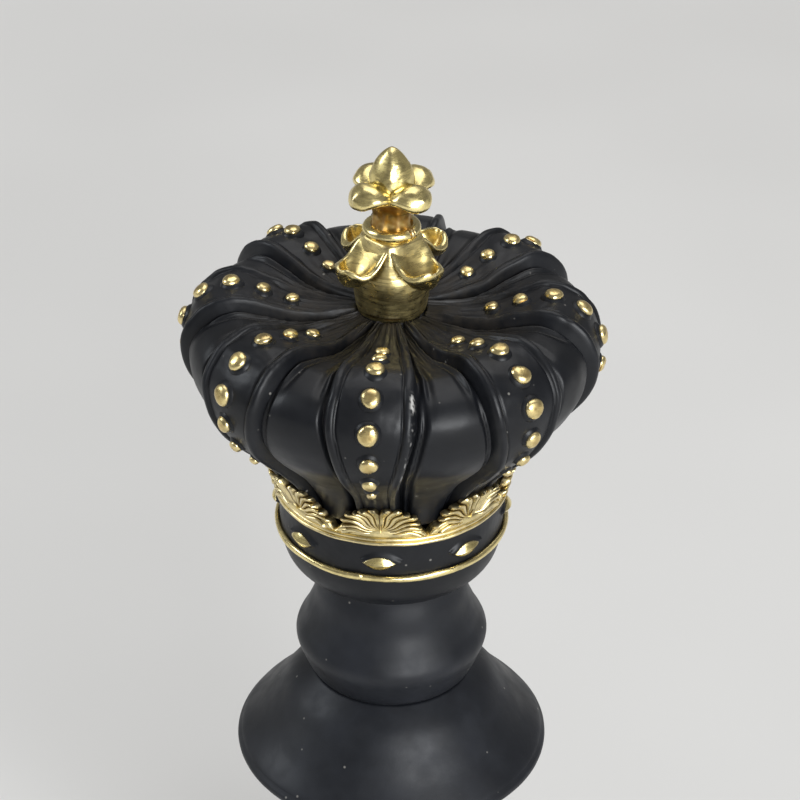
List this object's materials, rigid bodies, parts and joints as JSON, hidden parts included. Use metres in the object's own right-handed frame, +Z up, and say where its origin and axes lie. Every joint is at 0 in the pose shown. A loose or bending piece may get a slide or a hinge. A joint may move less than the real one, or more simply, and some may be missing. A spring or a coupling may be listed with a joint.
{
  "type": "giant chess piece",
  "caption": "Ornamental chess king with a puffed black crown of studded arches, leaf crests, gemmed band and gold finial on a stepped round base.",
  "frame": {"origin": "centre of the felt's underside, on the surface that the piece stands on", "axes": "+Z up along the tie rod to the finial's tip; -Y is the front, where arch_1 stands; +X to the right of the front"},
  "size_m": [0.106, 0.106, 0.3],
  "materials": {
    "black_resin": "satin charcoal-black painted cast resin, dusty in the folds",
    "gold_paint": "antique gold paint on cast resin, amber-brown in the recesses",
    "zinc_steel": "zinc-plated steel",
    "brass": "turned brass",
    "felt": "dark green wool felt",
    "rubber": "matte rubber"
  },
  "bodies": {
    "figure": {"felt_pad": "felt", "base_plate": "black_resin", "base_screws": "zinc_steel", "ballast_weight": "zinc_steel", "base_plinth": "black_resin", "base_moulding": "black_resin", "stem": "black_resin", "stem_collar": "black_resin", "skirt": "black_resin", "knob": "black_resin", "tie_rod": "zinc_steel", "rod_nut": "zinc_steel", "rod_washer": "zinc_steel", "lock_washer": "zinc_steel", "crown_cup": "black_resin", "crown_band": "black_resin", "lower_rim": "gold_paint", "upper_rim": "gold_paint", "band_gems": "gold_paint", "crown_cap": "black_resin", "arch_1": "black_resin", "arch_2": "black_resin", "arch_3": "black_resin", "arch_4": "black_resin", "arch_5": "black_resin", "arch_6": "black_resin", "arch_7": "black_resin", "arch_8": "black_resin", "arch_studs_1": "gold_paint", "arch_studs_2": "gold_paint", "arch_studs_3": "gold_paint", "arch_studs_4": "gold_paint", "arch_studs_5": "gold_paint", "arch_studs_6": "gold_paint", "arch_studs_7": "gold_paint", "arch_studs_8": "gold_paint", "leaf_crest_1": "gold_paint", "leaf_crest_2": "gold_paint", "leaf_crest_3": "gold_paint", "leaf_crest_4": "gold_paint", "leaf_crest_5": "gold_paint", "leaf_crest_6": "gold_paint", "leaf_crest_7": "gold_paint", "leaf_crest_8": "gold_paint"},
    "finial_carrier": {"finial_gasket": "rubber"},
    "finial": {"finial_insert": "brass", "finial_cup": "gold_paint", "finial_lower_leaves": "gold_paint", "finial_ring": "gold_paint", "finial_upper_leaves": "gold_paint", "finial_bud": "gold_paint"},
    "plug_carrier": {"plug_seal": "rubber"},
    "plug": {"access_plug": "black_resin"}
  },
  "joints": [
    {"name": "finial_lift", "type": "slide", "parent": "figure", "child": "finial_carrier", "axis": [0, 0, 1], "range_m": [0, 0.008]},
    {"name": "finial_turn", "type": "hinge", "parent": "finial_carrier", "child": "finial", "pos_m": [0, 0, 0.26], "axis": [0, 0, 1], "range_deg": [0, 720]},
    {"name": "plug_drop", "type": "slide", "parent": "figure", "child": "plug_carrier", "axis": [0, 0, -1], "range_m": [0, 0.007]},
    {"name": "plug_turn", "type": "hinge", "parent": "plug_carrier", "child": "plug", "pos_m": [0, 0, 0.003], "axis": [0, 0, -1], "range_deg": [0, 720]}
  ],
  "couplings": [
    {"joint": "finial_turn", "follows": "finial_lift", "rad_per_m": 1570.8},
    {"joint": "plug_turn", "follows": "plug_drop", "rad_per_m": 1795.2}
  ]
}
